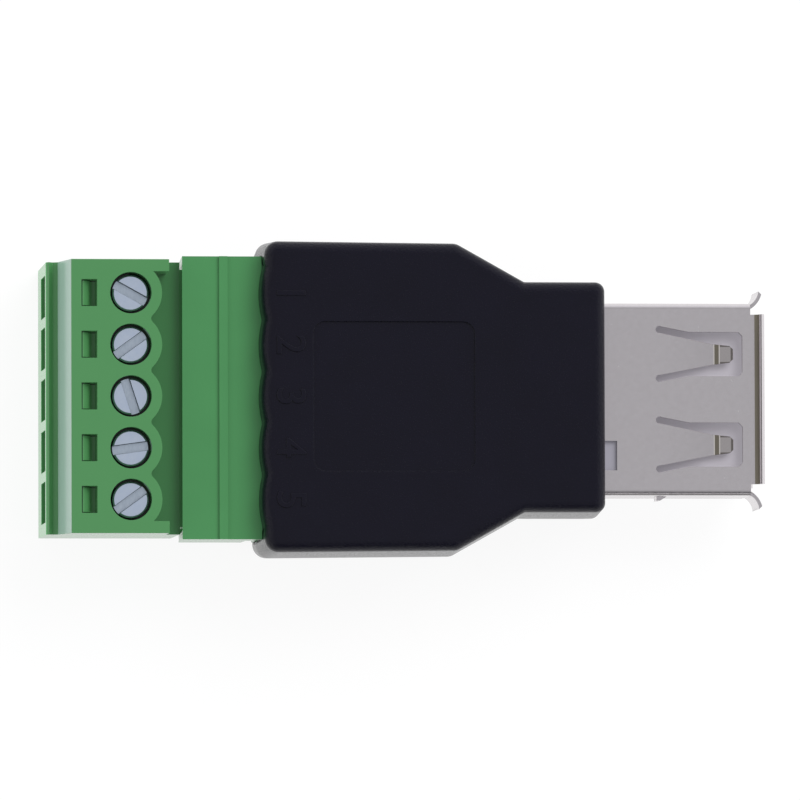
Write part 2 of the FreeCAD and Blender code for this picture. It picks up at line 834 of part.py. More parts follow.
def make_insulator():
    """Moulded block that fills the rear of the shell and carries the tongue."""
    body = new_body("usb_insulator")
    block = rectangle(
        body, "BlockSection", "YZ_Plane",
        "-bore_half_width", "bore_half_width", "axis - bore_half_height", "axis + bore_half_height",
        "block_start"
    )
    pad(body, "Block", block, "block_length")
    round_edges(body, "BlockRounds", "shell_round - sheet", lambda edge: runs_along(edge, 0))
    low = "board_top + strip_thickness - tongue_groove"
    tongue_side = "(shell_width / 2 - tongue_inset)"
    tongue = rectangle(
        body, "TongueSection", "YZ_Plane",
        f"-{tongue_side}", tongue_side, low, f"{low} + tongue_thickness", "block_start"
    )
    pad(body, "Tongue", tongue, "tongue_end - block_start")
    for index, lane in enumerate(strip_lanes()):
        channel = rectangle(
            body, f"Channel{index + 1}Sketch", "YZ_Plane",
            f"{lane} - strip_width / 2", f"{lane} + strip_width / 2",
            "board_top", "board_top + strip_thickness", "shell_rear"
        )
        cut(
            body, f"Channel{index + 1}", channel, f"tongue_end - shell_rear + {PAST}", reverse=True
        )
    return body


def strip_lanes():
    return ["-outer_lane", "-inner_lane", "inner_lane", "outer_lane"]


def make_strip(index, lane):
    """A contact strip: tail on the board, then along the underside of the tongue."""
    body = new_body(f"usb_contact_{index + 1}")
    bar = rectangle(
        body, f"StripSection{index + 1}", "YZ_Plane",
        "-strip_width / 2", "strip_width / 2", "0", "strip_thickness"
    )
    pad(body, f"StripBar{index + 1}", bar, "tongue_end - strip_setback - strip_start")
    set_size(body, "Placement.Base.x", "strip_start")
    set_size(body, "Placement.Base.y", lane)
    set_size(body, "Placement.Base.z", "board_top")
    return body


# Pluggable terminal block


def make_plug():
    """Five pole terminal block: wire face to the left, scalloped top and a nose for the header."""
    body = new_body("plug_body")
    profile = outline(
        body, "PlugProfile", "XZ_Plane",
        [
            ("wire_face", "plug_lift"),
            ("shelf_end", "plug_lift"),
            ("shelf_end", "shelf"),
            ("screw_row", "shelf"),
            ("screw_row", "plug_top"),
            ("screw_row - top_edge_reach", "plug_top"),
            ("wire_face + ledge_depth", "ledge"),
            ("wire_face + gutter_offset", "ledge - lip_rise"),
            ("wire_face + lip_offset", "ledge + lip_rise"),
            ("wire_face", "ledge - lip_rise"),
        ],
    )
    pad(body, "PlugBlock", profile, "plug_width", both_ways=True)
    scallop = circle(
        body, "ScallopSketch", "XY_Plane", "screw_row", first_pole(), "2 * scallop_radius", "shelf"
    )
    turret = pad(body, "Scallop", scallop, "shelf_drop")
    row_of_poles(body, "Scallops", [turret])
    row = value("screw_row")
    radius = value("scallop_radius")

    def is_valley(edge):
        point = edge.CenterOfMass
        return runs_along(edge, 2) and row + 0.1 * radius < point.x < row + 0.95 * radius

    round_edges(body, "ValleyRounds", "valley_round", is_valley)
    for name, sign in (("Low", "-"), ("High", "")):
        arm = rectangle(
            body, f"Arm{name}Sketch", "XY_Plane",
            "screw_row", "screw_row + arm_reach",
            f"{sign}(plug_width / 2 - arm_thickness)", f"{sign}(plug_width / 2)", "shelf"
        )
        pad(body, f"Arm{name}", arm, "shelf_drop")
    nose = rectangle(
        body, "NoseSection", "YZ_Plane",
        "-cavity_side + running_play", "cavity_side - running_play",
        "cavity_base + running_play", "cavity_top - running_play", "shelf_end"
    )
    pad(body, "Nose", nose, "nose_end - shelf_end")
    for name, sign in (("Low", "-"), ("High", "")):
        wedge = outline(
            body, f"Draft{name}Sketch", "YZ_Plane",
            [
                (f"{sign}(plug_width / 2 - plug_draft)", "plug_lift"),
                (f"{sign}(plug_width / 2)", "plug_top"),
                (f"{sign}(plug_width / 2 + {PAST})", "plug_top"),
                (f"{sign}(plug_width / 2 + {PAST})", f"plug_lift - {PAST}"),
                (f"{sign}(plug_width / 2 - plug_draft)", f"plug_lift - {PAST}"),
            ],
            f"wire_face - {PAST}",
        )
        cut(body, f"Draft{name}", wedge, f"nose_end - wire_face + 2 * {PAST}", reverse=True)

    # What follows is made at the first pole and repeated for the others.
    pole = first_pole()
    entry = rectangle(
        body, "WireEntrySketch", "YZ_Plane",
        f"{pole} - wire_entry_width / 2", f"{pole} + wire_entry_width / 2",
        "cage_floor_top", "wire_entry_top", f"wire_face - {PAST}"
    )
    wire_entry = cut(body, "WireEntry", entry, f"wire_entry_depth + {PAST}", reverse=True)
    throat = rectangle(
        body, "WireThroatSketch", "YZ_Plane",
        f"{pole} - wire_entry_width / 2 + throat_inset",
        f"{pole} + wire_entry_width / 2 - throat_inset",
        "cage_floor_top + bar_play", "bar_under", "wire_face"
    )
    wire_throat = cut(body, "WireThroat", throat, "wire_face_reach", reverse=True)
    cell = rectangle(
        body, "CageCellSketch", "XY_Plane",
        "screw_row - cage_length / 2 - running_play", "screw_row + cage_length / 2 + running_play",
        f"{pole} - wire_entry_width / 2", f"{pole} + wire_entry_width / 2", "cage_base"
    )
    cage_cell = cut(body, "CageCell", cell, "cavity_roof - cage_base", reverse=True)
    bore = circle(
        body, "HeadBoreSketch", "XY_Plane",
        "screw_row", pole, "head_diameter + 2 * bore_play", f"plug_top + {PAST}"
    )
    head_bore = cut(body, "HeadBore", bore, f"plug_top - head_base + {PAST}")
    shank = circle(
        body, "ShankBoreSketch", "XY_Plane",
        "screw_row", pole, "screw_diameter + 2 * running_play", f"cavity_roof - {EMBED}"
    )
    shank_bore = cut(body, "ShankBore", shank, f"shoulder + 2 * {EMBED}", reverse=True)
    channel = rectangle(
        body, "ContactChannelSketch", "YZ_Plane",
        f"{pole} - contact_width / 2", f"{pole} + contact_width / 2",
        "finger_top - contact_thickness", "bar_top", "fork_root"
    )
    contact_channel = cut(
        body, "ContactChannel", channel, f"nose_end - fork_root + {PAST}", reverse=True
    )
    bar_slot = rectangle(
        body, "BarSlotSketch", "YZ_Plane",
        f"{pole} - contact_width / 2", f"{pole} + contact_width / 2",
        "bar_under", "bar_top", "bar_start"
    )
    slot_through = cut(body, "BarSlot", bar_slot, f"fork_root - bar_start + {EMBED}", reverse=True)
    slot_left = "(screw_row - test_slot_reach - test_slot_length / 2)"
    window = rectangle(
        body, "TestSlotSketch", "XY_Plane", slot_left, f"{slot_left} + test_slot_length",
        f"{pole} - test_slot_width / 2", f"{pole} + test_slot_width / 2", f"plug_top + {PAST}"
    )
    test_slot = cut(body, "TestSlot", window, f"test_slot_depth + {PAST}")
    boss = outline(
        body, "SlotBossSketch", "XZ_Plane",
        [
            (f"{slot_left} - {EMBED}", f"plug_top - test_slot_depth - {EMBED}"),
            (f"{slot_left} + boss_foot", f"plug_top - test_slot_depth - {EMBED}"),
            (f"{slot_left} + boss_foot", "plug_top - boss_drop", "boss_bulge"),
            (f"{slot_left} + boss_crown", "plug_top - boss_sink"),
            (f"{slot_left} - {EMBED}", "plug_top - boss_sink"),
        ],
        f"-({pole}) - test_slot_width / 2",
    )
    slot_boss = pad(body, "SlotBoss", boss, "test_slot_width")
    row_of_poles(
        body, "Poles",
        [
            wire_entry, wire_throat, cage_cell, head_bore, shank_bore, contact_channel,
            slot_through, test_slot, slot_boss,
        ],
    )
    groove = rectangle(
        body, "KeywaySketch", "YZ_Plane",
        f"{pole} + pitch / 2 - key_width / 2", f"{pole} + pitch / 2 + key_width / 2",
        f"cavity_base - {PAST}", "cavity_base + key_depth + running_play", "shelf_end"
    )
    keyway = cut(body, "Keyway", groove, f"nose_end - shelf_end + {PAST}", reverse=True)
    row_of_poles(body, "Keyways", [keyway], "pole_count - 1")
    return body


def make_fork(index):
    """Forked contact: a flat bar through the cage and two fingers that hold the header's pin."""
    body = new_body(f"plug_contact_{index + 1}")
    tip = "nose_end - finger_setback"
    profile = outline(
        body, f"ForkProfile{index + 1}", "XZ_Plane",
        [
            ("bar_start", "bar_under"),
            ("fork_root", "bar_under"),
            ("fork_root", "finger_top - contact_thickness"),
            (tip, "finger_top - contact_thickness"),
            (tip, "finger_top"),
            ("fork_root + contact_thickness", "finger_top"),
            ("fork_root + contact_thickness", "bar_under"),
            (tip, "bar_under"),
            (tip, "bar_top"),
            ("bar_start", "bar_top"),
        ],
    )
    pad(body, f"ForkBar{index + 1}", profile, "contact_width", both_ways=True)
    set_size(body, "Placement.Base.y", pole_place(index))
    return body


def make_screw(index):
    """Slotted cheese head screw, turned about its own Z axis, head seat at Z 0."""
    body = new_body(f"clamp_screw_{index + 1}")
    half = outline(
        body, f"ScrewProfile{index + 1}", "XZ_Plane",
        [
            ("0", "-screw_length"),
            ("screw_diameter / 2 - head_bevel", "-screw_length"),
            ("screw_diameter / 2", "-screw_length + head_bevel"),
            ("screw_diameter / 2", "0"),
            ("head_diameter / 2", "0"),
            ("head_diameter / 2", "head_height - head_bevel"),
            ("head_diameter / 2 - head_bevel", "head_height"),
            ("0", "head_height"),
        ],
    )
    turned = body.newObject("PartDesign::Revolution", f"ScrewTurned{index + 1}")
    turned.Profile = half
    turned.ReferenceAxis = (origin_item(body, "Z_Axis"), [""])
    turned.Angle = 360
    body.Tip = turned
    slot = rectangle(
        body, f"ScrewSlotSketch{index + 1}", "YZ_Plane",
        "-slot_width / 2", "slot_width / 2", "head_height - slot_depth", f"head_height + {PAST}"
    )
    cut(body, f"ScrewSlot{index + 1}", slot, f"head_diameter + {PAST}", both_ways=True)
    turn = FreeCAD.Rotation(FreeCAD.Vector(0, 0, 1), SLOT_ANGLES[index % len(SLOT_ANGLES)])
    body.Placement = FreeCAD.Placement(FreeCAD.Vector(0, 0, 0), turn)
    set_size(body, "Placement.Base.x", "screw_row")
    set_size(body, "Placement.Base.y", pole_place(index))
    set_size(body, "Placement.Base.z", "head_base")
    return body


def make_cage(index):
    """Rising clamp: a square sleeve that the screw pulls up against the contact bar."""
    body = new_body(f"clamp_cage_{index + 1}")
    plan = rectangle(
        body, f"CagePlan{index + 1}", "XY_Plane",
        "-cage_length / 2", "cage_length / 2", "-cage_width / 2", "cage_width / 2"
    )
    pad(body, f"CageBlock{index + 1}", plan, "cage_height")
    window = rectangle(
        body, f"CageWindowSketch{index + 1}", "YZ_Plane",
        "-cage_window_width / 2", "cage_window_width / 2",
        "cage_floor", "cage_height - cage_top"
    )
    cut(body, f"CageWindow{index + 1}", window, f"cage_length + {PAST}", both_ways=True)
    thread = circle(
        body, f"CageThreadSketch{index + 1}", "XY_Plane",
        "0", "0", "cage_window_width", f"cage_height + {PAST}"
    )
    cut(body, f"CageThread{index + 1}", thread, f"cage_top + 2 * {PAST}")
    set_size(body, "Placement.Base.x", "screw_row")
    set_size(body, "Placement.Base.y", pole_place(index))
    set_size(body, "Placement.Base.z", "cage_base")
    return body


pieces = [make_housing(), make_header(), make_board(), make_shell(), make_insulator(), make_plug()]
for lane_index, lane_place in enumerate(strip_lanes()):
    pieces.append(make_strip(lane_index, lane_place))
for pole_index in range(int(value("pole_count"))):
    pieces.append(make_pin(pole_index))
    pieces.append(make_fork(pole_index))
    pieces.append(make_screw(pole_index))
    pieces.append(make_cage(pole_index))
doc.recompute()

for item in doc.Objects:
    if "Invalid" in item.State or "Error" in item.State:
        raise RuntimeError(f"{item.Label} did not compute: {item.State}")
for piece in pieces:
    if piece.Shape.isNull() or not piece.Shape.isValid() or len(piece.Shape.Solids) != 1:
        raise RuntimeError(f"{piece.Label} is not one valid solid")

os.makedirs("parts", exist_ok=True)
for piece in pieces:
    piece.Shape.exportStep(f"parts/{piece.Label}.step")
    box = piece.Shape.BoundBox
    print(f"{piece.Label}: {box.XLength:.2f} x {box.YLength:.2f} x {box.ZLength:.2f} mm")
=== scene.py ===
import json
import math

import bmesh
import bpy
import numpy as np
from mathutils import Matrix, Vector

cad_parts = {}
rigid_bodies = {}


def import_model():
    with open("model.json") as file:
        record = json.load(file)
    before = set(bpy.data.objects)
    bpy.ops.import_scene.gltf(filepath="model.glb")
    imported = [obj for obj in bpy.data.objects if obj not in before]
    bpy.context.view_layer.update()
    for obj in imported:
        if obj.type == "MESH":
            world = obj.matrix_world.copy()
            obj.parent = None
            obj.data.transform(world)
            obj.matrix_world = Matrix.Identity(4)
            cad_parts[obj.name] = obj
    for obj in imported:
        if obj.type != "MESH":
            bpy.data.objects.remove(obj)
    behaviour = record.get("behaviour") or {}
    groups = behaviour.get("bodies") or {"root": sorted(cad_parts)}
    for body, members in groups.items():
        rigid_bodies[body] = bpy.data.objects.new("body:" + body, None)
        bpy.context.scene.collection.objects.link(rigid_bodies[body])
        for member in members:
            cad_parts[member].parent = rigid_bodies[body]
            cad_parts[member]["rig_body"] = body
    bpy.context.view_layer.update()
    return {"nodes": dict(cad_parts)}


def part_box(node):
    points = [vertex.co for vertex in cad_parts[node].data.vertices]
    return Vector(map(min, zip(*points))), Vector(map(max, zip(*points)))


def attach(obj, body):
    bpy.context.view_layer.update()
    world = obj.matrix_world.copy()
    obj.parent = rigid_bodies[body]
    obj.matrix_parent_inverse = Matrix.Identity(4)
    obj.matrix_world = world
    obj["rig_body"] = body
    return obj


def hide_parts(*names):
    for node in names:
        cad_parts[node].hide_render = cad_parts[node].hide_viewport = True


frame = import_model()
MM = 0.001


# Moulded housing: one closed moulding in black thermoplastic, shot around the header, the board and
# the rear of the receptacle. Its mould was spark eroded, so every outer face carries a fine even
# grain that only shows where light grazes it.

PAINT_EDGE = 0.03 * MM
SLOPE_TURN = 8
BRIGHTEST_STEP = 255
KNEE, SLOPE, LIFT, POWER = 0.04045, 12.92, 0.055, 2.4

SAME_POINT = 0.0005 * MM
FLAT = math.radians(0.4)
SHARP = math.radians(28)
FOLD_LENGTH = 0.9 * MM
ROUND_STEPS = 2
FACE_WEIGHT = 80


class Value:
    """A quantity that varies over a finish; sums, products and powers of it vary in the same way."""

    def __init__(self, graph, socket):
        self.graph = graph
        self.socket = socket

    def maths(self, operation, first, second=0.0, clamp=False):
        settings = {"operation": operation, "use_clamp": clamp}
        return self.graph.node("Math", settings, {0: first, 1: second})

    def __add__(self, other):
        return self.maths("ADD", self, other)

    def __radd__(self, other):
        return self.maths("ADD", other, self)

    def __sub__(self, other):
        return self.maths("SUBTRACT", self, other)

    def __rsub__(self, other):
        return self.maths("SUBTRACT", other, self)

    def __mul__(self, other):
        return self.maths("MULTIPLY", self, other)

    def __rmul__(self, other):
        return self.maths("MULTIPLY", other, self)

    def __pow__(self, other):
        return self.maths("POWER", self, other)

    def __rpow__(self, other):
        return self.maths("POWER", other, self)

    def absolute(self):
        return self.maths("ABSOLUTE", self)

    def larger(self, other):
        return self.maths("MAXIMUM", self, other)

    def clamped(self):
        """The quantity, held between 0 and 1."""
        return self.maths("ADD", self, 0.0, clamp=True)

    def span(self, low, high):
        """Goes from low to high as the quantity goes from 0 to 1."""
        return low + self * (high - low)


class Graph:
    """The network of quantities and colours behind one finish or one light."""

    def __init__(self, tree):
        self.tree = tree

    def node(self, kind, settings=None, sockets=None, output=0):
        """Adds one step to the network: its settings first, then what goes into it."""
        item = self.tree.nodes.new("ShaderNode" + kind)
        for name, setting in (settings or {}).items():
            if name == "stops":
                self.fill_ramp(item.color_ramp, setting)
            else:
                setattr(item, name, setting)
        for name, given in (sockets or {}).items():
            self.join(given, item.inputs[name])
        return Value(self, item.outputs[output])

    def fill_ramp(self, ramp, stops):
        """Sets a ramp to a row of places, each with its own colour."""
        while len(ramp.elements) < len(stops):
            ramp.elements.new(0.5)
        for element, (place, tone) in zip(ramp.elements, stops):
            element.position = place
            element.color = tone

    def join(self, given, socket):
        if isinstance(given, Value):
            self.tree.links.new(given.socket, socket)
        else:
            socket.default_value = given

    def blend(self, amount, first, second):
        """One colour turning into another as the amount goes from 0 to 1."""
        settings = {"data_type": "RGBA"}
        return self.node("Mix", settings, {0: amount, 6: first, 7: second}, output=2)


class Finish(Graph):
    """The finish of a piece; the properties that are even all over are given when it is made."""

    def __init__(self, name, **even):
        self.material = bpy.data.materials.new(name)
        self.material.use_nodes = True
        super().__init__(self.material.node_tree)
        self.shader = self.tree.nodes["Principled BSDF"]
        self.feed(**even)

    def feed(self, **properties):
        for name, given in properties.items():
            self.join(given, self.shader.inputs[name.replace("_", " ")])

    def place(self):
        """The point on the piece, in metres, in the frame of the whole object."""
        return self.node("TexCoord", output="Object")

    def place_along(self, axis):
        """One coordinate of the point, in metres."""
        return self.node("SeparateXYZ", None, {0: self.place()}, output=axis)

    def within(self, number, low, high):
        """1 between two places and 0 outside, turning over a few hundredths of a millimetre."""
        rise = ((number - low) * (1 / PAINT_EDGE)).clamped()
        fall = ((high - number) * (1 / PAINT_EDGE)).clamped()
        return rise * fall

    def facing(self, axis):
        """How far the surface faces along one axis, from -1 to 1."""
        normal = self.node("TexCoord", output="Normal")
        return self.node("SeparateXYZ", None, {0: normal}, output=axis)

    def turned(self, slope):
        """0 up to a slope of 0, and 1 from an eighth upwards."""
        return (slope * SLOPE_TURN).clamped()

    def sides(self, steepest):
        """1 on faces that stand upright and 0 on those that lie flat."""
        return self.turned(steepest - self.facing("Z").absolute())

    def noise(self, size, detail=2.0, roughness=0.5, stretch=(1, 1, 1)):
        """Soft noise whose blobs are about that many millimetres across."""
        scale = [share / (size * MM) for share in stretch]
        point = self.node("Mapping", None, {"Vector": self.place(), "Scale": scale})
        sockets = {"Vector": point, "Scale": 1.0, "Detail": detail, "Roughness": roughness}
        return self.node("TexNoise", None, sockets)

    def coats(self, tone, *coats):
        """Lays one colour after another over a tone, each as far as its own mask covers."""
        for mask, shade in coats:
            tone = self.blend(mask, tone, shade)
        return tone

    def bump(self, height, depth):
        """Relief whose height of 1 stands that many millimetres proud."""
        sockets = {"Height": height, "Distance": depth * MM, "Strength": 1.0}
        self.feed(Normal=self.node("Bump", None, sockets))


def colour(red, green, blue):
    """A colour in display steps from 0 to 255 turned into light: a line below a knee, then a power."""
    steps = np.array([red, green, blue]) / BRIGHTEST_STEP
    light = np.where(steps <= KNEE, steps / SLOPE, ((steps + LIFT) / (1 + LIFT)) ** POWER)
    return (*light.tolist(), 1.0)


def refined(node, name, finish, edge_round, crease=None):
    """A solid's own surface, its loose triangles joined and every sharp edge slightly rounded.

    Long edges that bend by more than the crease angle, but less than a sharp one, stay crisp.
    """
    source = frame["nodes"][node]
    mesh = bpy.data.meshes.new(name)
    work = bmesh.new()
    work.from_mesh(source.data)
    bmesh.ops.remove_doubles(work, verts=work.verts, dist=SAME_POINT)
    bmesh.ops.dissolve_limit(work, angle_limit=FLAT, verts=work.verts, edges=work.edges)
    for edge in work.edges:
        if crease and len(edge.link_faces) == 2 and edge.calc_length() > FOLD_LENGTH:
            edge.smooth = edge.calc_face_angle() < math.radians(crease)
    work.to_mesh(mesh)
    work.free()
    mesh.polygons.foreach_set("use_smooth", np.ones(len(mesh.polygons), bool))
    mesh.materials.clear()
    mesh.materials.append(finish)
    piece = bpy.data.objects.new(name, mesh)
    bpy.context.scene.collection.objects.link(piece)
    bevel = piece.modifiers.new("edges", "BEVEL")
    bevel.width = edge_round * MM
    bevel.segments = ROUND_STEPS
    bevel.limit_method = "ANGLE"
    bevel.angle_limit = SHARP
    even = piece.modifiers.new("normals", "WEIGHTED_NORMAL")
    even.weight = FACE_WEIGHT
    even.keep_sharp = True
    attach(piece, source["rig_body"])
    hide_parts(node)


def black_moulding():
    """Black with a hint of blue in faint patches; the crests of the grain are the dullest."""
    finish = Finish("black_moulding", IOR=1.3)
    grain = finish.noise(size=0.17, detail=3.0, roughness=0.62)
    patches = finish.noise(size=2.5)
    tone = finish.blend(patches, colour(12, 11, 23), colour(15, 14, 28))
    finish.feed(Base_Color=tone, Roughness=grain.span(low=0.15, high=0.27))
    finish.bump(grain, depth=0.045)
    return finish.material


black = black_moulding()
refined("overmould_housing", "moulded_housing", black, edge_round=0.06)


# Pin header: a thin shroud moulded in green polyamide, with a low rib across its roof. It is seated
# in the housing's front and carries the square pins in its back wall.


def green_moulding(name, bright, deep, details=None):
    """Green in two close tones, with a faint painted glow in its own tone that lifts its shaded faces a
    little.
    """
    # Painted glow: a faint emission in the green's own tone stands in for light soaking through the
    # moulding.
    finish = Finish(name, IOR=1.4, Emission_Strength=0.12)
    cloud = finish.noise(size=3.0)
    speck = finish.noise(size=0.12, roughness=0.6)
    tone = finish.blend(cloud, bright, deep)
    if details:
        tone = details(finish, tone)
    roughness = speck.span(low=0.13, high=0.23)
    finish.feed(Base_Color=tone, Emission_Color=tone, Roughness=roughness)
    finish.bump(speck, depth=0.003)
    return finish.material


header_green = green_moulding("header_green", colour(72, 137, 83), colour(68, 131, 79))
refined("header_body", "pin_header", header_green, edge_round=0.06)


# Receptacle shell: nickel plated steel strip, 0.3 mm thick, stamped, folded into a tube and flared
# at the mouth. Two leaves on each wide side are bent inwards out of their openings to grip a plug.
# The plate is rougher round the mouth, and painted colour stands in for its light and shade: a dull
# olive painted reflection on the leaf folds and round the mouth, a painted highlight beside each
# fold, painted shade on the bent tips, round them and on the cut edges, and a painted dark
# reflection along the near top bend.

FAR = 1.0
FOLD_GLEAM = 0.07 * MM
LEAF_FOLD = (21.18 * MM, 21.5 * MM)
LEAF_LANES = (2.3 * MM, 3.9 * MM)
LEAF_MIDDLE = 3.09 * MM
LEAF_HALF_WIDTH = 0.5 * MM
LEAF_RIM = 22.27 * MM
LEAF_END = 22.62 * MM
LIP_FOLD = (23.86 * MM, 24.2 * MM)
LIP_SIDE = 5.8 * MM
LIP_DULLNESS = 0.3
# Painted dark reflection along the near top bend: its levels, its side and how far it covers.
PAINTED_DARK_BEND_LEVELS = (8.26 * MM, 8.5 * MM)
PAINTED_DARK_BEND_SIDE = -6.2 * MM
PAINTED_DARK_BEND_COVER = 1.25
TIP_COVER, RIM_COVER, SHEARED_COVER = 0.6, 0.8, 0.75


def nickel_plate():
    """Mottled plate with fine rolling lines along the strip; its folds, tips, cut edges and bends carry
    painted light and shade.
    """
    finish = Finish("nickel_plate", Metallic=1.0)
    rolled = finish.noise(size=0.35, detail=3.0, roughness=0.6, stretch=(0.05, 1, 1))
    mottle = finish.noise(size=0.35, detail=4.0, roughness=0.65)
    speckle = finish.noise(size=0.12, roughness=0.7)
    along, across, level = [finish.place_along(axis) for axis in "XYZ"]
    aside = across.absolute()
    lanes = finish.within(aside, *LEAF_LANES)
    fold = finish.within(along, *LEAF_FOLD) * lanes
    fold_and_gleam = finish.within(along, LEAF_FOLD[0] - FOLD_GLEAM, LEAF_FOLD[1] + FOLD_GLEAM)
    gleam = fold_and_gleam * lanes - fold
    tip = finish.within(along, LEAF_FOLD[1], LEAF_END) * lanes
    beside = finish.within((aside - LEAF_MIDDLE).absolute(), LEAF_HALF_WIDTH, FAR)
    rim = tip * (beside + finish.within(along, LEAF_RIM, FAR)).clamped()
    wide_sides = finish.within(aside, -FAR, LIP_SIDE)
    lip = finish.within(along, *LIP_FOLD) * wide_sides
    sheared = finish.sides(steepest=0.35) * wide_sides
    painted_dark_bend = finish.within(level, *PAINTED_DARK_BEND_LEVELS) * finish.within(across, -FAR, PAINTED_DARK_BEND_SIDE)
    tone = finish.coats(
        finish.blend(mottle, colour(212, 207, 209), colour(224, 220, 222)),
        # Painted shade: the bent tip of each leaf is darker.
        (tip * TIP_COVER, colour(176, 170, 166)),
        # Painted shadow: a dark outline round each bent tip, where the gap beside it is shaded.
        (rim * RIM_COVER, colour(104, 97, 92)),
        # Painted highlight: a thin bright line on each side of the leaf fold.
        (gleam.clamped(), colour(246, 240, 234)),
        # Painted reflection: a dull olive band on the leaf folds and round the mouth.
        ((fold + lip).clamped(), colour(138, 132, 118)),
        # Painted shade on the upright cut faces of the openings, where the gap under the top sheet is
        # shaded.
        (sheared * SHEARED_COVER, colour(70, 64, 62)),
        # Painted dark reflection: a speckled near-black line along the near top bend, where the plate
        # mirrors the dark near side.
        ((painted_dark_bend * (PAINTED_DARK_BEND_COVER - speckle)).clamped(), colour(48, 44, 44)),
    )
    roughness = mottle.span(low=0.2, high=0.3) + lip * LIP_DULLNESS
    finish.feed(Base_Color=tone, Roughness=roughness)
    finish.bump(rolled * 0.5 + mottle * 0.5, depth=0.0015)
    return finish.material


refined(
    "usb_shell", "receptacle_shell", nickel_plate(), edge_round=0.05, crease=10
)


# Insulator and contact strips: a pale moulded block fills the rear of the shell and carries the
# tongue. Four stamped strips with a gold flash lie in grooves under the tongue.

BLOCK_END = 15.6 * MM
STRIPS = range(1, 5)


def pale_moulding():
    """Pale grey in two close tones, with painted shade on the block at the rear and a faint painted
    glow.
    """
    # Painted glow: a faint emission in its own tone stands in for light passing through the pale
    # plastic.
    finish = Finish("pale_moulding", Roughness=0.4, IOR=1.5, Emission_Strength=0.3)
    cloud = finish.noise(size=2.0)
    block = finish.within(finish.place_along("X"), -FAR, BLOCK_END)
    tone = finish.blend(cloud, colour(172, 168, 175), colour(182, 178, 185))
    # Painted shade on the block at the rear, which lies deep inside the shell.
    tone = finish.blend(block, tone, colour(150, 148, 158))
    finish.feed(Base_Color=tone, Emission_Color=tone)
    finish.bump(finish.noise(size=0.1), depth=0.003)
    return finish.material


def gold_flash():
    """Thin gold, paler where it is worn, with fine drawing lines along the strip."""
    finish = Finish("gold_flash", Metallic=1.0)
    wear = finish.noise(size=0.8, detail=3.0, roughness=0.6)
    tone = finish.blend(wear, colour(214, 178, 96), colour(228, 196, 122))
    finish.feed(Base_Color=tone, Roughness=wear.span(low=0.2, high=0.35))
    finish.bump(finish.noise(size=0.2, stretch=(0.1, 1, 1)), depth=0.002)
    return finish.material


refined("usb_insulator", "tongue_block", pale_moulding(), edge_round=0.05)
gold = gold_flash()
for strip in STRIPS:
    name = f"contact_strip_{strip}"
    refined(f"usb_contact_{strip}", name, gold, edge_round=0.03)


# Board and header pins: a small glass fibre board joins the pins to the receptacle inside the
# housing. The square pins are drawn wire, tinned and bevelled at their tips.

POLES = range(1, 6)


def laminate():
    """Green lacquer over a woven sheet, whose weave shows as faint relief."""
    finish = Finish("laminate", Roughness=0.35)
    weave = finish.noise(size=0.4, detail=1.0, roughness=0.4)
    finish.feed(Base_Color=finish.blend(weave, colour(20, 92, 52), colour(28, 106, 62)))
    finish.bump(weave, depth=0.01)
    return finish.material


def dull_tin():
    """Matt tin, mottled in tone, in gloss and in relief by the same noise."""
    finish = Finish("dull_tin", Metallic=1.0)
    mottle = finish.noise(size=0.3, detail=3.0, roughness=0.6)
    tone = finish.blend(mottle, colour(196, 196, 194), colour(214, 213, 210))
    finish.feed(Base_Color=tone, Roughness=mottle.span(low=0.28, high=0.48))
    finish.bump(mottle, depth=0.004)
    return finish.material


refined("circuit_board", "board_sheet", laminate(), edge_round=0.04)
tin = dull_tin()
for pole in POLES:
    name = f"square_pin_{pole}"
    refined(f"header_pin_{pole}", name, tin, edge_round=0.03)


# Pluggable terminal block: one moulding in green polyamide, with a wire face on the left, a bore
# over each screw, a test slot beside each bore, and a nose that slides into the header. The wire
# face and the long bevel over the wires carry a painted pale sheen, and the bores, the nose and a
# gap round each slot's spring carry painted shade.

POLE_PITCH = 3.5 * MM
POLE_ROW_END = 8.65 * MM
BEVEL = (-23.72 * MM, -22.98 * MM)
BEVEL_LOW = 8.2 * MM
TEST_SLOT = (-22.3 * MM, -21.24 * MM)
TEST_SLOT_SIDE = 0.915 * MM
TEST_SLOT_GAP = 0.07 * MM
SCREW_ROW = -18.95 * MM
BORE_RADIUS = 1.415 * MM
NOSE = (-17.9 * MM, -10 * MM)
NOSE_TOP = 8.45 * MM
WIRE_FACE = -24.42 * MM
HALF_TURNED = 0.5
GAP_COVER, NOSE_COVER, WIRE_FACE_COVER = 0.85, 0.6, 0.7


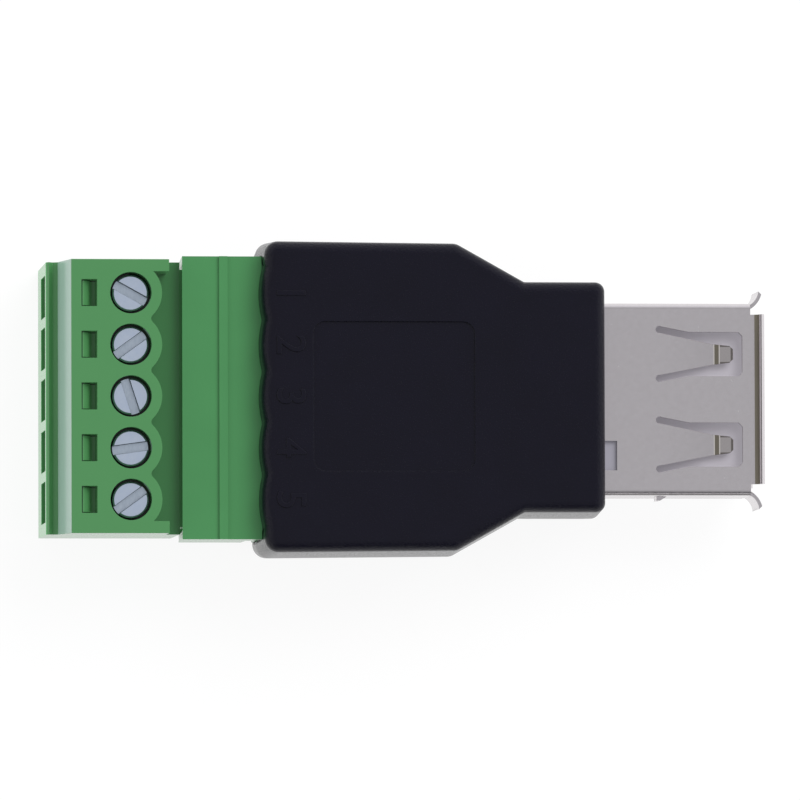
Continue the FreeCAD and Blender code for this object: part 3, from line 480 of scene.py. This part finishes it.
def block_details(finish, tone):
    """Painted shade in the gaps round the springs, in the bores and on the nose; a painted sheen on the
    wire face and the long bevel.
    """
    along, across, level = [finish.place_along(axis) for axis in "XYZ"]
    sockets = {0: across, 1: POLE_PITCH / 2, 2: -POLE_PITCH / 2}
    aside = finish.node("Math", {"operation": "WRAP"}, sockets).absolute()
    poles = finish.within(across.absolute(), -FAR, POLE_ROW_END)
    slot = finish.within(along, *TEST_SLOT) * finish.within(aside, -FAR, TEST_SLOT_SIDE) * poles
    spring = finish.within(along, TEST_SLOT[0] + TEST_SLOT_GAP, FAR)
    spring = spring * finish.within(aside, -FAR, TEST_SLOT_SIDE - TEST_SLOT_GAP)
    gap = (slot - spring).clamped()
    off = along - SCREW_ROW
    bore = finish.within((off * off + aside * aside) ** 0.5, -FAR, BORE_RADIUS) * poles
    facing_up = finish.turned(finish.facing("Z") - HALF_TURNED)
    nose = finish.within(along, *NOSE) * finish.within(level, -FAR, NOSE_TOP) * facing_up
    not_ends = finish.turned(HALF_TURNED - finish.facing("Y").absolute())
    bevel = finish.within(along, *BEVEL) * finish.within(level, BEVEL_LOW, FAR) * not_ends
    wire_face = finish.within(along, -FAR, WIRE_FACE)
    return finish.coats(
        tone,
        # Painted shadow in the gap round each spring.
        (gap * GAP_COVER, colour(8, 24, 12)),
        # Painted shade in the bore round each screw.
        (bore, colour(6, 16, 10)),
        # Painted shade on the nose, low between the screw row and the header.
        (nose * NOSE_COVER, colour(40, 92, 50)),
        # Painted reflection: the wire face is paler mint, standing in for the white table mirrored at a
        # grazing angle.
        (wire_face * WIRE_FACE_COVER, colour(84, 178, 98)),
        # Painted sheen on the long bevel over the wires.
        (bevel, colour(156, 186, 170)),
    )


block_green = green_moulding(
    "plug_green", colour(76, 134, 82), colour(73, 131, 80), block_details
)
refined("plug_body", "terminal_block", block_green, edge_round=0.06)


# Screws, cages and forked contacts: slotted cheese head screws in bluish zinc plate, each turned by
# hand to its own angle. Below them the rising cages and the forked contacts are bent from tinned
# sheet.

BELOW_SCREW_TOP = 0.25 * MM
SLOT_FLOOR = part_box("clamp_screw_1")[1].z - BELOW_SCREW_TOP


def zinc_plate():
    """Blotched bluish plate; the slot floor and all below it is greyer with fine streaks, and upright
    faces carry painted shade.
    """
    finish = Finish("zinc_plate", Metallic=1.0)
    blotch = finish.noise(size=0.5, detail=3.0, roughness=0.6)
    milled = finish.noise(size=0.08, roughness=0.6, stretch=(1, 0.2, 1))
    tone = finish.coats(
        finish.blend(blotch, colour(206, 222, 246), colour(228, 240, 255)),
        (
            # Greyer below the slot floor, with fine streaks.
            finish.within(finish.place_along("Z"), -FAR, SLOT_FLOOR),
            finish.blend(milled, colour(190, 206, 224), colour(222, 234, 246)),
        ),
        # Painted shade on the upright faces, such as the walls of the slot.
        (finish.sides(steepest=0.6), colour(70, 84, 98)),
    )
    finish.feed(Base_Color=tone, Roughness=blotch.span(low=0.24, high=0.44))
    finish.bump(blotch, depth=0.005)
    return finish.material


zinc = zinc_plate()
for pole in POLES:
    screw, cage, fork = f"slotted_screw_{pole}", f"rising_cage_{pole}", f"forked_contact_{pole}"
    refined(f"clamp_screw_{pole}", screw, zinc, edge_round=0.05)
    refined(f"clamp_cage_{pole}", cage, tin, edge_round=0.04)
    refined(f"plug_contact_{pole}", fork, tin, edge_round=0.03)


# Pole numbers: plain numbers with rounded edges, raised from the housing's top beside each pole. They
# are part of the moulding and read from the right, so they run against the count of the poles.

HOUSING_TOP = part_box("overmould_housing")[1].z
NUMBER_HEIGHT = 1.94 * MM
HEIGHT_IN_LINE = 0.7
NUMBER_RISE = 0.05 * MM
NUMBER_ROUND = 0.06 * MM
NUMBER_ROUND_STEPS = 2
NUMBER_SLIMMER = -0.02 * MM
NUMBER_SINK = 0.02 * MM
NUMBER_ROW = -9.02 * MM
MIDDLE_POLE = 3
QUARTER_TURN = Matrix.Rotation(-math.pi / 2, 4, "Z")

for pole in POLES:
    text = bpy.data.curves.new(f"pole_number_{pole}", "FONT")
    text.body = str(POLES[-pole])
    text.size = NUMBER_HEIGHT / HEIGHT_IN_LINE
    text.extrude = NUMBER_RISE
    text.offset = NUMBER_SLIMMER
    text.bevel_depth = NUMBER_ROUND
    text.bevel_resolution = NUMBER_ROUND_STEPS
    text.align_x = "CENTER"
    holder = bpy.data.objects.new(f"number_curve_{pole}", text)
    bpy.context.scene.collection.objects.link(holder)
    bpy.context.view_layer.update()
    shapes = bpy.context.evaluated_depsgraph_get()
    mesh = bpy.data.meshes.new_from_object(holder.evaluated_get(shapes))
    bpy.data.objects.remove(holder)
    place = (NUMBER_ROW, (pole - MIDDLE_POLE) * POLE_PITCH, HOUSING_TOP - NUMBER_SINK)
    mesh.transform(Matrix.Translation(place) @ QUARTER_TURN)
    mesh.materials.clear()
    mesh.materials.append(black)
    number = bpy.data.objects.new(f"pole_number_{pole}", mesh)
    bpy.context.scene.collection.objects.link(number)
    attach(number, "adapter")


# Table, light and camera: a white table inside a light tent, with soft light from above and white on
# every side but the near one. The camera is far above and leans slightly to the left and towards
# the lower edge.

BLACK, WHITE, MATT_WHITE = (0, 0, 0, 1), (1, 1, 1, 1), (0.9, 0.9, 0.9, 1)
TABLE_GLOW = 1.035
TABLE_GLOW_SHARE = 0.88
TABLE_REACH = 3.0
TABLE_TOP = -0.02 * MM


def table_white():
    """Matt white that is seen as plain white, but still takes a share of the object's shadow."""
    finish = Finish("table_white", Base_Color=MATT_WHITE, Roughness=0.6)
    seen, mirrored, passed = [
        finish.node("LightPath", output=ray)
        for ray in ("Is Camera Ray", "Is Glossy Ray", "Is Transmission Ray")
    ]
    share = (seen + mirrored + passed).clamped() * TABLE_GLOW_SHARE
    glow = finish.node("Emission", None, {"Color": WHITE, "Strength": TABLE_GLOW})
    matt = Value(finish, finish.shader.outputs[0])
    mixed = finish.node("MixShader", None, {0: share, 1: matt, 2: glow})
    finish.join(mixed, finish.tree.nodes["Material Output"].inputs["Surface"])
    return finish.material


corners = np.array([(-1, -1, 0), (1, -1, 0), (1, 1, 0), (-1, 1, 0)]) * TABLE_REACH
table_mesh = bpy.data.meshes.new("table")
table_mesh.from_pydata((corners + (0, 0, TABLE_TOP)).tolist(), [], [(0, 1, 2, 3)])
table_mesh.materials.append(table_white())
table = bpy.data.objects.new("table", table_mesh)
bpy.context.scene.collection.objects.link(table)

TENT_STRENGTH = 0.9
TENT_BLUE = 1.03
TENT_LEVELS = (
    (0.18, 1.11), (0.3, 1.0), (0.5, 1.0), (0.7, 0.72), (0.86, 0.48), (0.95, 0.57), (1.0, 0.62)
)
NEAR_SIDE = {"From Min": -0.6, "From Max": -0.78, "To Min": 1.0, "To Max": 0.08}
LOW_RIM = {"From Min": 0.18, "From Max": 0.3, "To Min": 1.0, "To Max": 0.0}

world = bpy.data.worlds.new("light_tent")
bpy.context.scene.world = world
world.use_nodes = True
tent = Graph(world.node_tree)
direction = tent.node("TexCoord", output="Generated")
sideways = tent.node("SeparateXYZ", None, {0: direction}, output="Y")
upwards = tent.node("SeparateXYZ", None, {0: direction}, output="Z")
tent_stops = [(place, (level, level, level * TENT_BLUE, 1)) for place, level in TENT_LEVELS]
cloth = tent.node("ValToRGB", {"stops": tent_stops}, {0: upwards})
near_side = tent.node("MapRange", None, {"Value": sideways, **NEAR_SIDE})
low_rim = tent.node("MapRange", None, {"Value": upwards, **LOW_RIM})
backdrop = world.node_tree.nodes["Background"]
tent.join(tent.blend(near_side.larger(low_rim), BLACK, cloth), backdrop.inputs["Color"])
tent.join(TENT_STRENGTH, backdrop.inputs["Strength"])

LAMP_PLACE = Vector((0.25, 0.3, 0.5))
LAMP_SIZE = 0.4
LAMP_POWER = 2.5

soft_light = bpy.data.lights.new("upper_right", "AREA")
soft_light.shape = "SQUARE"
soft_light.size = LAMP_SIZE
soft_light.energy = LAMP_POWER
lamp = bpy.data.objects.new("upper_right", soft_light)
lamp.location = LAMP_PLACE
lamp.visible_glossy = False
lamp.rotation_euler = (-LAMP_PLACE).to_track_quat("-Z", "Y").to_euler()
bpy.context.scene.collection.objects.link(lamp)

AIM = Vector((-0.1, 0.0, 5.5)) * MM
DISTANCE = 0.8
LEAN_LEFT, LEAN_LOW, ROLL = 0.0975, 0.0532, 0.0032
PICTURE_STEPS = 800
STEPS_PER_MM = 14.65
SHIFT_STEPS = (-0.2, 1.13)
SENSOR_WIDTH = 36
NEAREST, FARTHEST = 0.05, 10

right = Vector((math.cos(LEAN_LEFT), 0, math.sin(LEAN_LEFT)))
back = Vector((
    -math.cos(LEAN_LOW) * math.sin(LEAN_LEFT),
    -math.sin(LEAN_LOW),
    math.cos(LEAN_LOW) * math.cos(LEAN_LEFT),
))
up = back.cross(right)
side = math.cos(ROLL) * right - math.sin(ROLL) * up
top = math.sin(ROLL) * right + math.cos(ROLL) * up
lens = bpy.data.cameras.new("camera")
lens.sensor_width = SENSOR_WIDTH
lens.lens = SENSOR_WIDTH * STEPS_PER_MM * DISTANCE / MM / PICTURE_STEPS
lens.shift_x, lens.shift_y = [steps / PICTURE_STEPS for steps in SHIFT_STEPS]
lens.clip_start, lens.clip_end = NEAREST, FARTHEST
camera = bpy.data.objects.new("camera", lens)
turn = Matrix((side, top, back)).transposed().to_4x4()
camera.matrix_world = Matrix.Translation(AIM + back * DISTANCE) @ turn
bpy.context.scene.collection.objects.link(camera)
bpy.context.scene.camera = camera
bpy.context.scene.view_settings.view_transform = "Standard"
